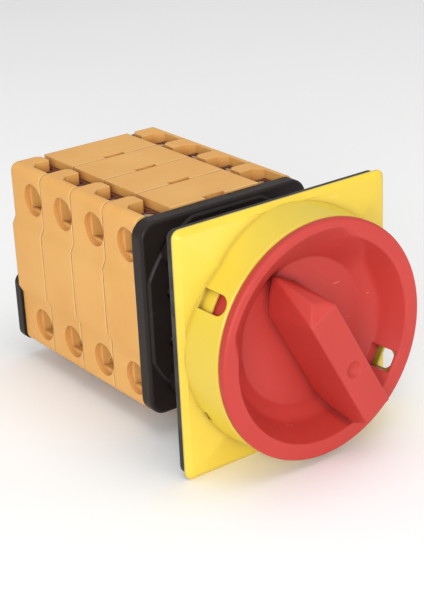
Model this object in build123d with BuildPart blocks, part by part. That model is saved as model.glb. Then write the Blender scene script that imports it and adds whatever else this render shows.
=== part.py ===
from build123d import *
import math
import os

# Rotary cam isolator for panel mounting, with a padlockable handle.
# Frame: +Z up, the handle faces -Y, +X to the right seen from the handle.
# Origin: on the shaft axis, in the plane where the seal meets the panel.

# ---------------------------------------------------------------- sizes, mm
PLATE = 88.0
PLATE_CORNER = 3.0
SEAL_DEPTH = 4.0
RIM_DEPTH = 2.2
FACET_INNER = 58.0
FACET_RISE = 3.4
COLLAR_BASE_R = 42.6
COLLAR_TIP_R = 41.3
COLLAR_BORE_R = 40.0
COLLAR_FRONT = -21.0
ESCUTCHEON_FLOOR = 2.5
MOUNT_PITCH = 48.0
MOUNT_HOLE_R = 2.2
SCREW_SHANK_R = 1.95
SCREW_CORE_R = 1.5
SCREW_END = 12.0

DISC_R = 41.5
DISC_FACE = -25.0
DISC_BACK = -21.5
BOWL_RIM_R = 35.6
BOWL_FLOOR_R = 25.0
BOWL_FLOOR = -13.0
BOWL_KNEE_R = 31.0
BOWL_KNEE = -16.6
HANDLE_WALL = 2.4
SKIRT_R = 39.4
SKIRT_BACK = -9.5
HUB_R = 9.0
HUB_BACK = -1.4

GRIP_ANGLE = 119.0
GRIP_FACE = -33.6
GRIP_HALF_TOP = 5.8
GRIP_HALF_FOOT = 7.7
GRIP_NOSE = 16.0
GRIP_TAIL = -31.2
GRIP_TAIL_FOOT = -35.0
NOSE_PEAK = (20.5, -30.4)
NOSE_TIP = (28.2, -15.4)
DIMPLE_U = -9.8
DIMPLE_R = 3.2

LOCK_ANGLES = (150.0, -30.0)
LOCK_WIDTH = 6.9
LOCK_NEAR = -8.2
LOCK_MID = -13.4
LOCK_FAR = -19.8
RAMP_WALL = 0.8
BOWL_WINDOW = 7.5
BOWL_WINDOW_NEAR = -16.2
BOWL_WINDOW_FAR = -23.8
DRAIN_ANGLES = (29.0, 209.0)
DRAIN_WIDTH = 4.2
DRAIN_HEIGHT = 2.2

SHAFT_SIDE = 8.0
SHAFT_FRONT = -10.0
SHAFT_PLAY = 0.05

BODY_X = 67.0
BODY_Z = 72.0
BODY_EDGE_R = 3.2
STAGES = 4
PITCH = 20.6
PLATE2 = 71.0
PLATE2_CORNER = 6.0
PLATE2_FRONT = 25.0
PLATE2_STEP = 0.8
BODY_FRONT = 31.5
BODY_BACK = BODY_FRONT + STAGES * PITCH
PLATE2_DISC_R = 37.0
PANEL_MAX = 4.5
POST_R = 4.2
BOSS_R = 22.0
LATCH_BORE_R = 19.6
LATCH_FRONT = 8.0
REAR_PLATE = 4.4

STAR_R = 11.0
STAR_NOTCH = 1.3
STAR_FRONT = 11.5
STAR_DEPTH = 8.0
LATCH_LIFT = 1.2

BAND_RISE = 1.2
BAND_TOP = 12.5
BAND_SLOPE = 3.0
ENTRY_Y = 6.3
ENTRY_Z = 25.0
ENTRY_R = 6.15
ENTRY_SQUARE = 8.4
BELL_DEPTH = 2.0
POCKET_IN = 18.8
POCKET_OUT = 29.6
CHANNEL_OUT = 21.0
CHANNEL_CHAMFER = 1.6
POCKET_LONG = 13.6
POCKET_FLOOR = 31.4
SCREW_X = 24.4
CHAMBER_X = 17.5
CHAMBER_TOP = 31.5
CHAMBER_FLOOR = 17.0
TERMINAL_FLOOR = 18.6
TERMINAL_TOP = 29.4
STRIP_END = 30.0
BORE_R = 13.4
SLOT_X = 9.0
SLOT_Y = 2.4
TIE_X = 25.0
TIE_Z = 9.0
TIE_R = 2.0

CAM_HIGH = 12.4
CAM_LOW = 8.9
LIFT = CAM_HIGH - CAM_LOW
CAM_NEAR = 4.2
CAM_FAR = 16.4
CAM_GAP = 0.25
STEM_HALF = 3.0
STEM_NEAR = 6.2
STEM_FAR = 14.2
GUIDE_PLAY = 0.12
STRIP_TOP = 20.2
STRIP_START = 8.6
STRIP_THICK = 1.4
TIP_R = 2.0
TIP_H = 0.9
BAR_THICK = 1.4
BAR_HALF = 13.0
TIP_X = 10.8
CONTACT_PLAY = 0.1

os.makedirs("parts", exist_ok=True)


def front_plane(y):
    """Plane at depth y whose local axes are X and Z, facing the handle side."""
    return Plane(origin=(0, y, 0), x_dir=(1, 0, 0), z_dir=(0, -1, 0))


def turned_plane(y, degrees):
    """The same plane with its local x turned anticlockwise seen from the front."""
    turn = math.radians(degrees)
    return Plane(origin=(0, y, 0), x_dir=(math.cos(turn), 0, math.sin(turn)), z_dir=(0, -1, 0))


def side_plane(x, side):
    """Plane on the left or right, facing outwards; local axes are Y and Z."""
    return Plane(origin=(x * side, 0, 0), x_dir=(0, side, 0), z_dir=(side, 0, 0))


def top_plane(z, up):
    """Level plane facing up (1) or down (-1); local x is X."""
    return Plane(origin=(0, 0, z * up), x_dir=(1, 0, 0), z_dir=(0, 0, up))


def save(part, name):
    """Label the finished piece and write it."""
    part.label = name
    export_step(part, f"parts/{name}.step")


def grip_point(u, v, y):
    """A point in the grip's own axes, u towards the nose, v sideways."""
    turn = math.radians(GRIP_ANGLE)
    return Vector(u * math.cos(turn) + v * math.sin(turn), y, u * math.sin(turn) - v * math.cos(turn))


def plane_through(a, b, c, outside):
    """Plane through three points whose normal points towards the outside point."""
    normal = (b - a).cross(c - a).normalized()
    if normal.dot(outside - a) < 0:
        normal = normal * -1
    return Plane(origin=a, z_dir=normal)


# ------------------------------------------------------------------- handle
def grip_planes():
    """The slanted faces that cut the grip out of a block."""
    planes = []
    for side in (1, -1):
        top_near = grip_point(GRIP_NOSE, side * GRIP_HALF_TOP, GRIP_FACE)
        top_far = grip_point(GRIP_TAIL, side * GRIP_HALF_TOP, GRIP_FACE)
        foot = grip_point(0, side * GRIP_HALF_FOOT, BOWL_FLOOR)
        planes.append(plane_through(top_near, top_far, foot, grip_point(0, side * 60, BOWL_FLOOR)))
        peak = grip_point(NOSE_PEAK[0], 0, NOSE_PEAK[1])
        tip = grip_point(NOSE_TIP[0], 0, NOSE_TIP[1])
        corner = grip_point(GRIP_NOSE - 0.4, side * GRIP_HALF_FOOT, BOWL_FLOOR)
        ahead = grip_point(60, side * 60, -20)
        planes.append(plane_through(peak, tip, top_near, ahead))
        planes.append(plane_through(top_near, tip, corner, ahead))
    left = grip_point(GRIP_NOSE, GRIP_HALF_TOP, GRIP_FACE)
    right = grip_point(GRIP_NOSE, -GRIP_HALF_TOP, GRIP_FACE)
    peak = grip_point(NOSE_PEAK[0], 0, NOSE_PEAK[1])
    planes.append(plane_through(left, right, peak, grip_point(60, 0, -60)))
    tail_top = grip_point(GRIP_TAIL, 5, GRIP_FACE)
    tail_side = grip_point(GRIP_TAIL, -5, GRIP_FACE)
    tail_foot = grip_point(GRIP_TAIL_FOOT, 0, DISC_FACE)
    planes.append(plane_through(tail_top, tail_side, tail_foot, grip_point(-60, 0, -25)))
    return planes


with BuildPart() as handle:
    # The grip: a block cut by its slanted faces.
    with BuildSketch(turned_plane(BOWL_FLOOR + 1, GRIP_ANGLE)):
        Rectangle(90, 20)
    extrude(amount=BOWL_FLOOR + 1 - GRIP_FACE)
    for cutter in grip_planes():
        split(bisect_by=cutter, keep=Keep.BOTTOM)
    fillet(handle.edges().filter_by(lambda e: e.center().Y < BOWL_FLOOR), radius=0.5)
    # Keep only what stands in front of the bowl's wall.
    with BuildSketch(Plane.XY):
        with BuildLine():
            Polyline(
                (0, GRIP_FACE - 1),
                (DISC_R, GRIP_FACE - 1),
                (DISC_R, DISC_FACE + 1),
                (BOWL_RIM_R + 0.9, DISC_FACE + 1),
                (BOWL_FLOOR_R + 0.9, BOWL_FLOOR + 1),
                (0, BOWL_FLOOR + 1),
                close=True,
            )
        make_face()
    revolve(axis=Axis.Y, mode=Mode.INTERSECT)
    # Disc, bowl, skirt and hub.
    with BuildSketch(Plane.XY):
        with BuildLine():
            Polyline(
                (0, BOWL_FLOOR),
                (BOWL_FLOOR_R, BOWL_FLOOR),
                (BOWL_KNEE_R, BOWL_KNEE),
                (BOWL_RIM_R, DISC_FACE),
                (DISC_R, DISC_FACE),
                (DISC_R, DISC_BACK),
                (SKIRT_R, DISC_BACK),
                (SKIRT_R, SKIRT_BACK),
                (SKIRT_R - 2, SKIRT_BACK),
                (SKIRT_R - 2, BOWL_KNEE - 1),
                (BOWL_KNEE_R + 2, BOWL_KNEE + 2.2),
                (BOWL_FLOOR_R + 1, BOWL_FLOOR + HANDLE_WALL),
                (HUB_R, BOWL_FLOOR + HANDLE_WALL),
                (HUB_R, HUB_BACK),
                (0, HUB_BACK),
                close=True,
            )
        make_face()
    revolve(axis=Axis.Y)
    rim_edges = handle.edges().filter_by(GeomType.CIRCLE).filter_by(lambda e: abs(e.radius - DISC_R) < 0.01)
    fillet(rim_edges, radius=1.1)
    # Padlock window through the bowl wall and the skirt.
    with BuildSketch(turned_plane(BOWL_WINDOW_NEAR, LOCK_ANGLES[1])):
        with Locations(((BOWL_FLOOR_R + DISC_R) / 2, 0)):
            Rectangle(DISC_R - BOWL_FLOOR_R, BOWL_WINDOW)
    extrude(amount=BOWL_WINDOW_NEAR - BOWL_WINDOW_FAR, mode=Mode.SUBTRACT)
    with BuildSketch(turned_plane(SKIRT_BACK + 1, LOCK_ANGLES[1])):
        with Locations((SKIRT_R - 1, 0)):
            Rectangle(8, BOWL_WINDOW)
    extrude(amount=SKIRT_BACK + 1 - LOCK_FAR, mode=Mode.SUBTRACT)
    # Dimple on the grip, square socket in the hub and the ring groove.
    with Locations(Location(grip_point(DIMPLE_U, 0, GRIP_FACE - 5.2))):
        Sphere(math.hypot(DIMPLE_R, 5.2), mode=Mode.SUBTRACT)
    with BuildSketch(front_plane(HUB_BACK)):
        Rectangle(SHAFT_SIDE + 2 * SHAFT_PLAY, SHAFT_SIDE + 2 * SHAFT_PLAY)
    extrude(amount=HUB_BACK - SHAFT_FRONT + 0.2, mode=Mode.SUBTRACT)
    with BuildSketch(front_plane(-2.3)):
        Circle(HUB_R + 1)
        Circle(HUB_R - 0.8, mode=Mode.SUBTRACT)
    extrude(amount=1.2, mode=Mode.SUBTRACT)
save(handle.part, "handle")


with BuildPart() as hub_ring:
    with BuildSketch(front_plane(-2.4)):
        Circle(HUB_R + 2.6)
        Circle(HUB_R - 0.7, mode=Mode.SUBTRACT)
        with Locations((0, -HUB_R)):
            Rectangle(4, 8, mode=Mode.SUBTRACT)
    extrude(amount=1.0)
save(hub_ring.part, "hub_ring")


# ------------------------------------------------- escutcheon, seal, screws
with BuildPart() as escutcheon:
    rim_top = -SEAL_DEPTH - RIM_DEPTH
    with BuildSketch(front_plane(-SEAL_DEPTH)):
        RectangleRounded(PLATE, PLATE, PLATE_CORNER)
    extrude(amount=RIM_DEPTH)
    chamfer(escutcheon.faces().sort_by(Axis.Y)[0].outer_wire().edges(), length=1.5, length2=2.0)
    with BuildSketch(front_plane(rim_top)):
        Rectangle(PLATE - 4.6, PLATE - 4.6)
    with BuildSketch(front_plane(rim_top - FACET_RISE)):
        Rectangle(FACET_INNER, FACET_INNER)
    loft()
    with BuildSketch(Plane.XY):
        with BuildLine():
            Polyline(
                (0, rim_top + 0.2),
                (COLLAR_BASE_R, rim_top + 0.2),
                (COLLAR_TIP_R, COLLAR_FRONT + 0.5),
                (COLLAR_TIP_R - 0.5, COLLAR_FRONT),
                (0, COLLAR_FRONT),
                close=True,
            )
        make_face()
    revolve(axis=Axis.Y)
    with BuildSketch(front_plane(-SEAL_DEPTH - ESCUTCHEON_FLOOR)):
        Circle(COLLAR_BORE_R)
    extrude(amount=30, mode=Mode.SUBTRACT)
    with BuildSketch(front_plane(0)):
        Circle(HUB_R + 0.3)
        with GridLocations(MOUNT_PITCH, MOUNT_PITCH, 2, 2):
            Circle(MOUNT_HOLE_R)
    extrude(amount=12, mode=Mode.SUBTRACT)
    # Lightening recess behind the pyramid, round the collar.
    with BuildSketch(front_plane(-SEAL_DEPTH)):
        Rectangle(PLATE - 5, PLATE - 5)
        Circle(COLLAR_BORE_R + 2.2, mode=Mode.SUBTRACT)
    extrude(amount=0.9, mode=Mode.SUBTRACT)
    # Padlock windows: a ramp in the collar, then a D-shaped hole.
    for angle in LOCK_ANGLES:
        with BuildSketch(turned_plane(LOCK_NEAR, angle)):
            with Locations((COLLAR_BORE_R + RAMP_WALL + 2.5, 0)):
                Rectangle(5, LOCK_WIDTH)
        extrude(amount=LOCK_NEAR - LOCK_MID, mode=Mode.SUBTRACT)
        turn = math.radians(angle)
        outward = (math.cos(turn), 0, math.sin(turn))
        hole_plane = Plane(origin=(0, 0, 0), x_dir=(0, -1, 0), z_dir=outward)
        with BuildSketch(hole_plane.offset(COLLAR_BORE_R - 3)):
            straight = LOCK_MID - LOCK_FAR - LOCK_WIDTH / 2
            with Locations((straight - LOCK_MID, 0)):
                Circle(LOCK_WIDTH / 2)
                Rectangle(LOCK_WIDTH, LOCK_WIDTH, align=(Align.MAX, Align.CENTER), mode=Mode.SUBTRACT)
            with Locations((straight / 2 - LOCK_MID, 0)):
                Rectangle(straight, LOCK_WIDTH)
        extrude(amount=9, mode=Mode.SUBTRACT)
    # Drain slots at the foot of the collar.
    for angle in DRAIN_ANGLES:
        with BuildSketch(turned_plane(rim_top - 1.6, angle)):
            with Locations((COLLAR_BORE_R + 2, 0)):
                Rectangle(8, DRAIN_WIDTH)
        extrude(amount=DRAIN_HEIGHT, mode=Mode.SUBTRACT)
save(escutcheon.part, "escutcheon")

with BuildPart() as seal_frame:
    with BuildSketch(front_plane(0)):
        RectangleRounded(PLATE - 1.6, PLATE - 1.6, PLATE_CORNER)
        Circle(BOSS_R + 1, mode=Mode.SUBTRACT)
        with GridLocations(MOUNT_PITCH, MOUNT_PITCH, 2, 2):
            Circle(MOUNT_HOLE_R, mode=Mode.SUBTRACT)
    extrude(amount=SEAL_DEPTH)
    fillet(seal_frame.faces().sort_by(Axis.Y)[-1].outer_wire().edges(), radius=0.8)
save(seal_frame.part, "seal_frame")

with BuildPart() as mounting_screws:
    for x in (-MOUNT_PITCH / 2, MOUNT_PITCH / 2):
        for z in (-MOUNT_PITCH / 2, MOUNT_PITCH / 2):
            with BuildSketch(front_plane(-SEAL_DEPTH - ESCUTCHEON_FLOOR)):
                with Locations((x, z)):
                    Circle(3.6)
            extrude(amount=2.6)
            # Thread core in the post, full shank in the panel, captive neck in the seal.
            with BuildSketch(front_plane(SCREW_END)):
                with Locations((x, z)):
                    Circle(SCREW_CORE_R)
            extrude(amount=SCREW_END + SEAL_DEPTH + ESCUTCHEON_FLOOR + 0.2)
            with BuildSketch(front_plane(PANEL_MAX)):
                with Locations((x, z)):
                    Circle(SCREW_SHANK_R)
            extrude(amount=PANEL_MAX)
            with BuildSketch(front_plane(-SEAL_DEPTH - ESCUTCHEON_FLOOR - 1.3)):
                with Locations((x, z)):
                    Rectangle(3.6, 0.8)
                    Rectangle(0.8, 3.6)
            extrude(amount=2, mode=Mode.SUBTRACT)
save(mounting_screws.part, "mounting_screws")


# ------------------------------------------------- mounting plate and latch
with BuildPart() as mounting_plate:
    with BuildSketch(front_plane(BODY_FRONT)):
        RectangleRounded(PLATE2, PLATE2, PLATE2_CORNER)
    extrude(amount=BODY_FRONT - PLATE2_FRONT - PLATE2_STEP)
    fillet(mounting_plate.faces().sort_by(Axis.Y)[0].outer_wire().edges(), radius=1.4)
    with BuildSketch(front_plane(PLATE2_FRONT + PLATE2_STEP + 0.3)):
        Circle(PLATE2_DISC_R)
        Rectangle(PLATE2 - 3, PLATE2 - 3, mode=Mode.INTERSECT)
    extrude(amount=PLATE2_STEP + 0.3)
    chamfer(mounting_plate.faces().sort_by(Axis.Y)[0].outer_wire().edges(), length=0.6)
    with BuildSketch(front_plane(PLATE2_FRONT)):
        Circle(BOSS_R)
    extrude(amount=PLATE2_FRONT - PANEL_MAX)
    chamfer(mounting_plate.faces().sort_by(Axis.Y)[0].outer_wire().edges(), length=1.0)
    with BuildSketch(front_plane(PLATE2_FRONT)):
        with GridLocations(MOUNT_PITCH, MOUNT_PITCH, 2, 2):
            Circle(POST_R)
    extrude(amount=PLATE2_FRONT - PANEL_MAX)
    # Webs join each post to the boss.
    for angle in (45, 135, 225, 315):
        with BuildSketch(turned_plane(PLATE2_FRONT, angle)):
            with Locations((26, 0)):
                Rectangle(12, 2.0)
        extrude(amount=PLATE2_FRONT - PANEL_MAX - 6)
    with BuildSketch(front_plane(PANEL_MAX)):
        with GridLocations(MOUNT_PITCH, MOUNT_PITCH, 2, 2):
            Circle(SCREW_CORE_R + 0.1)
    extrude(amount=-10, mode=Mode.SUBTRACT)
    # Latch chamber, open towards the body, with the shaft hole in front.
    with BuildSketch(front_plane(BODY_FRONT)):
        Circle(LATCH_BORE_R)
    extrude(amount=BODY_FRONT - LATCH_FRONT, mode=Mode.SUBTRACT)
    with BuildSketch(front_plane(BODY_FRONT)):
        Circle(SHAFT_SIDE / 2 * math.sqrt(2) + 0.4)
        with GridLocations(2 * TIE_X, 2 * TIE_Z, 2, 2):
            Circle(TIE_R + 0.05)
    extrude(amount=BODY_FRONT, mode=Mode.SUBTRACT)
    # Guides for the two latch sliders.
    with BuildSketch(front_plane(STAR_FRONT + STAR_DEPTH + 1)):
        for up in (1, -1):
            for side in (1, -1):
                with Locations((side * 4.4, up * 15.9)):
                    Rectangle(2.4, 6.6)
    extrude(amount=STAR_DEPTH + STAR_FRONT + 1 - LATCH_FRONT)
save(mounting_plate.part, "mounting_plate")

with BuildPart() as latch_star:
    with BuildSketch(front_plane(STAR_FRONT + STAR_DEPTH)):
        Circle(STAR_R)
        with PolarLocations(STAR_R + 1.2, 4, start_angle=90):
            Circle(1.2 + STAR_NOTCH, mode=Mode.SUBTRACT)
    extrude(amount=STAR_DEPTH)
    with BuildSketch(front_plane(BODY_FRONT - 0.1)):
        Circle(7.5)
    extrude(amount=BODY_FRONT - 0.1 - STAR_FRONT)
    with BuildSketch(front_plane(BODY_FRONT)):
        Rectangle(SHAFT_SIDE + 2 * SHAFT_PLAY, SHAFT_SIDE + 2 * SHAFT_PLAY)
    extrude(amount=30, mode=Mode.SUBTRACT)
save(latch_star.part, "latch_star")


def coil_spring(name, x, y, low, high, radius, wire, turns):
    """A helical compression spring standing along Z, with its wire inside low..high."""
    height = high - low - 2 * wire
    with BuildPart() as spring:
        with BuildLine(Plane(origin=(x, y, low + wire))) as path:
            Helix(pitch=height / turns, height=height, radius=radius)
        with BuildSketch(Plane(origin=path.line @ 0, z_dir=path.line % 0)):
            Circle(wire / 2)
        sweep(is_frenet=True)
    save(spring.part, name)


LATCH_TIP = STAR_R + 0.15
LATCH_SEAT = 16.4
for up, word in ((1, "upper"), (-1, "lower")):
    with BuildPart() as latch_slider:
        with BuildSketch(front_plane(STAR_FRONT + STAR_DEPTH - 0.5)):
            with Locations((0, up * (LATCH_TIP + 2 + LATCH_SEAT) / 2)):
                Rectangle(6.2, LATCH_SEAT - LATCH_TIP - 2)
            with Locations((0, up * (LATCH_TIP + 2))):
                Circle(2.0)
        extrude(amount=STAR_DEPTH - 1)
    save(latch_slider.part, f"latch_slider_{word}")
    ends = sorted((up * (LATCH_SEAT + 0.05), up * (LATCH_BORE_R - 0.5)))
    coil_spring(f"latch_spring_{word}", 0, STAR_FRONT + STAR_DEPTH / 2, ends[0], ends[1], 2.0, 0.6, 3)


# --------------------------------------------------- shaft, body, rear plate
with BuildPart() as shaft:
    with BuildSketch(front_plane(BODY_BACK + REAR_PLATE - 0.6)):
        Rectangle(SHAFT_SIDE, SHAFT_SIDE)
    extrude(amount=BODY_BACK + REAR_PLATE - 0.6 - SHAFT_FRONT)
    fillet(shaft.edges().filter_by(Axis.Y), radius=0.5)
save(shaft.part, "shaft")

with BuildPart() as rear_plate:
    with BuildSketch(front_plane(BODY_BACK + REAR_PLATE)):
        Circle(30.0)
        with Locations((-23.2, -22.5)):
            RectangleRounded(23, 27, 4)
        with Locations((22.5, 21.8)):
            RectangleRounded(22, 24, 4)
    extrude(amount=REAR_PLATE)
    fillet(rear_plate.faces().sort_by(Axis.Y)[-1].outer_wire().edges(), radius=1.0)
    with BuildSketch(front_plane(BODY_BACK + REAR_PLATE + 1)):
        Circle(SHAFT_SIDE / 2 * math.sqrt(2) + 0.3)
        with GridLocations(2 * TIE_X, 2 * TIE_Z, 2, 2):
            Circle(TIE_R + 0.15)
    extrude(amount=REAR_PLATE + 2, mode=Mode.SUBTRACT)
    with BuildSketch(front_plane(BODY_BACK + REAR_PLATE + 1.6)):
        Circle(11)
        Circle(9, mode=Mode.SUBTRACT)
    extrude(amount=1.8)
save(rear_plate.part, "rear_plate")

with BuildPart() as tie_bolts:
    head_seat = BODY_BACK + REAR_PLATE
    for x in (-TIE_X, TIE_X):
        for z in (-TIE_Z, TIE_Z):
            with BuildSketch(front_plane(head_seat)):
                with Locations((x, z)):
                    Circle(TIE_R)
            extrude(amount=head_seat - BODY_FRONT + 4.0)
            with BuildSketch(front_plane(head_seat + 2.8)):
                with Locations((x, z)):
                    RegularPolygon(3.6, 6)
            extrude(amount=2.8)
save(tie_bolts.part, "tie_bolts")


def body_block(front):
    """The moulded block of one stage, before its chambers are cut."""
    back = front + PITCH
    high = BAND_TOP + BAND_SLOPE
    with BuildPart() as block:
        with BuildSketch(front_plane(back - 0.02)):
            RectangleRounded(BODY_X, BODY_Z, BODY_EDGE_R)
        extrude(amount=PITCH - 0.04)
        for side in (1, -1):
            with BuildSketch(front_plane(back - 0.02)):
                with BuildLine():
                    inner = side * (BODY_X / 2 - 1)
                    foot = side * BODY_X / 2
                    outer = side * (BODY_X / 2 + BAND_RISE)
                    Polyline(
                        (inner, high),
                        (foot, high),
                        (outer, BAND_TOP),
                        (outer, -BAND_TOP),
                        (foot, -high),
                        (inner, -high),
                        close=True,
                    )
                make_face()
            extrude(amount=PITCH - 0.04)
    return block.part


def entry_space(front, side, up):
    """The bell mouth, wire entry, screw pocket and screw hole of one terminal."""
    with BuildPart() as space:
        with BuildSketch(side_plane(BODY_X / 2 - BELL_DEPTH, side)):
            with Locations((side * (front + ENTRY_Y), up * ENTRY_Z)):
                Circle(ENTRY_R)
        extrude(amount=BELL_DEPTH + BAND_RISE + 1)
        with BuildSketch(side_plane(CHAMBER_X, side)):
            with Locations((side * (front + ENTRY_Y), up * ENTRY_Z)):
                Rectangle(ENTRY_SQUARE, ENTRY_SQUARE)
        extrude(amount=BODY_X / 2 - CHAMBER_X)
        with BuildSketch(side_plane(CHAMBER_X, side)):
            with Locations((side * (front + ENTRY_Y), up * (TERMINAL_FLOOR + TERMINAL_TOP) / 2)):
                Rectangle(ENTRY_SQUARE, TERMINAL_TOP - TERMINAL_FLOOR)
        extrude(amount=STRIP_END + 0.2 - CHAMBER_X)
        with BuildSketch(top_plane(POCKET_FLOOR, up)):
            with BuildLine():
                near = up * (front - 1)
                far = up * (front + POCKET_LONG)
                Polyline(
                    (side * POCKET_IN, near),
                    (side * POCKET_OUT, near),
                    (side * POCKET_OUT, far - up * 3),
                    (side * (POCKET_OUT - 3), far),
                    (side * POCKET_IN, far),
                    close=True,
                )
            make_face()
            # The channel that runs past every pocket, with a flared end.
            with BuildLine():
                Polyline(
                    (side * POCKET_IN, near - up),
                    (side * CHANNEL_OUT, near - up),
                    (side * CHANNEL_OUT, up * (front + PITCH - CHANNEL_CHAMFER)),
                    (side * (CHANNEL_OUT + CHANNEL_CHAMFER), up * (front + PITCH)),
                    (side * (CHANNEL_OUT + CHANNEL_CHAMFER), up * (front + PITCH + 1)),
                    (side * POCKET_IN, up * (front + PITCH + 1)),
                    close=True,
                )
            make_face()
        extrude(amount=8)
        with BuildSketch(top_plane(TERMINAL_FLOOR + 5, up)):
            with Locations((side * SCREW_X, up * (front + ENTRY_Y))):
                Circle(4.1)
        extrude(amount=10)
    return space.part


def stage_housing(front):
    """One tan stage: bore, two contact chambers and four terminals."""
    with BuildPart() as housing:
        add(body_block(front))
        for side in (1, -1):
            for up in (1, -1):
                add(entry_space(front, side, up), mode=Mode.SUBTRACT)
        with BuildSketch(front_plane(front + PITCH)):
            Circle(BORE_R)
            with GridLocations(2 * TIE_X, 2 * TIE_Z, 2, 2):
                Circle(TIE_R + 0.15)
        extrude(amount=PITCH, mode=Mode.SUBTRACT)
        for up in (1, -1):
            with BuildSketch(front_plane(front + 18.0)):
                with Locations((0, up * (CHAMBER_FLOOR + CHAMBER_TOP) / 2)):
                    Rectangle(2 * CHAMBER_X + 0.2, CHAMBER_TOP - CHAMBER_FLOOR)
            extrude(amount=16.0, mode=Mode.SUBTRACT)
            with BuildSketch(front_plane(front + STEM_FAR + GUIDE_PLAY)):
                with Locations((0, up * (CHAMBER_FLOOR + 11) / 2)):
                    Rectangle(2 * (STEM_HALF + GUIDE_PLAY), CHAMBER_FLOOR - 11)
            extrude(amount=STEM_FAR - STEM_NEAR + 2 * GUIDE_PLAY, mode=Mode.SUBTRACT)
            with BuildSketch(front_plane(front + SLOT_Y)):
                with Locations((0, up * (BODY_Z / 2 - 0.5))):
                    Rectangle(SLOT_X, 3)
            extrude(amount=SLOT_Y + 1, mode=Mode.SUBTRACT)
    return housing.part


def terminal_covers(front):
    """Dark insulating tiles that line the four screw pockets of one stage."""
    with BuildPart() as covers:
        for side in (1, -1):
            for up in (1, -1):
                middle = (POCKET_IN + POCKET_OUT) / 2
                near = front + 0.3
                far = front + POCKET_LONG - 3.3
                with BuildSketch(top_plane(POCKET_FLOOR, up)):
                    with Locations((side * middle, up * (near + far) / 2)):
                        Rectangle(POCKET_OUT - POCKET_IN - 0.4, far - near)
                    with Locations((side * (POCKET_IN + CHANNEL_OUT) / 2, up * (front + PITCH / 2))):
                        Rectangle(CHANNEL_OUT - POCKET_IN - 0.4, PITCH - 0.6)
                    with Locations((side * SCREW_X, up * (front + ENTRY_Y))):
                        Circle(3.9, mode=Mode.SUBTRACT)
                extrude(amount=1.4)
    return covers.part


def fixed_contacts(front):
    """Four terminal strips, each with a raised contact tip."""
    with BuildPart() as strips:
        for side in (1, -1):
            for up in (1, -1):
                near = front + ENTRY_Y - 3.6
                far = front + ENTRY_Y + 3.6
                with BuildSketch(top_plane(STRIP_TOP - STRIP_THICK, up)):
                    with Locations((side * (STRIP_START + STRIP_END) / 2, up * (near + far) / 2)):
                        Rectangle(STRIP_END - STRIP_START, far - near)
                    with Locations((side * SCREW_X, up * (front + ENTRY_Y))):
                        Circle(2.3, mode=Mode.SUBTRACT)
                extrude(amount=STRIP_THICK)
                with BuildSketch(top_plane(STRIP_TOP, up)):
                    with Locations((side * TIP_X, up * (front + ENTRY_Y + 1.0))):
                        Circle(TIP_R)
                extrude(amount=TIP_H)
    return strips.part


def terminal_screws(front):
    """Four slotted clamp screws, reached through the pockets."""
    with BuildPart() as screws:
        for side in (1, -1):
            for up in (1, -1):
                place = (side * SCREW_X, up * (front + ENTRY_Y))
                with BuildSketch(top_plane(19.0, up)):
                    with Locations(place):
                        Circle(2.2)
                extrude(amount=11.0)
                with BuildSketch(top_plane(29.6, up)):
                    with Locations(place):
                        Circle(3.6)
                extrude(amount=3.0)
                with BuildSketch(top_plane(31.6, up)):
                    with Locations(place):
                        Rectangle(8, 1.0)
                extrude(amount=2.0, mode=Mode.SUBTRACT)
    return screws.part


with BuildPart() as wire_clamps:
    for index in range(STAGES):
        for side in (1, -1):
            for up in (1, -1):
                with BuildSketch(top_plane(27.6, up)):
                    with Locations((side * SCREW_X, up * (BODY_FRONT + index * PITCH + ENTRY_Y))):
                        Rectangle(8.4, 8.2)
                        Circle(2.3, mode=Mode.SUBTRACT)
                extrude(amount=1.5)
save(wire_clamps.part, "wire_clamps")


def cam_outline():
    """Two lobes whose working flanks fall evenly through a quarter turn."""
    points = []
    for half in (0, 180):
        for step in range(0, 91, 6):
            points.append((CAM_HIGH - LIFT * step / 90, 90 + half + step))
        points.append((CAM_LOW, 90 + half + 97))
        for step in (1, 2, 3):
            points.append((CAM_LOW + LIFT * step / 3, 90 + half + 97 + step * 9))
        for step in range(133, 176, 7):
            points.append((CAM_HIGH, 90 + half + step))
    return [(r * math.cos(math.radians(a)), r * math.sin(math.radians(a))) for r, a in points]


def stage_cam(front):
    """The cam of one stage with its spacer hub, on the square shaft."""
    with BuildPart() as cam:
        with BuildSketch(front_plane(front + CAM_FAR)):
            with BuildLine():
                Polyline(*cam_outline(), close=True)
            make_face()
        extrude(amount=CAM_FAR - CAM_NEAR)
        with BuildSketch(front_plane(front + PITCH - 0.05)):
            Circle(7.5)
        extrude(amount=PITCH - 0.1)
        with BuildSketch(front_plane(front + PITCH)):
            Rectangle(SHAFT_SIDE + 2 * SHAFT_PLAY, SHAFT_SIDE + 2 * SHAFT_PLAY)
        extrude(amount=PITCH, mode=Mode.SUBTRACT)
    return cam.part


BAR_LOW = STRIP_TOP + TIP_H + CONTACT_PLAY + TIP_H + LIFT


def contact_carrier(front, up):
    """The plunger between cam and bridge, with the peg that holds the spring."""
    tip = CAM_HIGH + CAM_GAP
    middle = (STEM_NEAR + STEM_FAR) / 2
    with BuildPart() as carrier:
        with BuildSketch(front_plane(front + STEM_FAR)):
            with Locations((0, up * (tip + STEM_HALF))):
                Circle(STEM_HALF)
            with Locations((0, up * (tip + STEM_HALF + BAR_LOW) / 2)):
                Rectangle(2 * STEM_HALF, BAR_LOW - tip - STEM_HALF)
        extrude(amount=STEM_FAR - STEM_NEAR)
        with BuildSketch(top_plane(BAR_LOW, up)):
            with Locations((0, up * (front + middle))):
                Circle(1.4)
        extrude(amount=BAR_THICK + 1.6)
    return carrier.part


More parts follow.
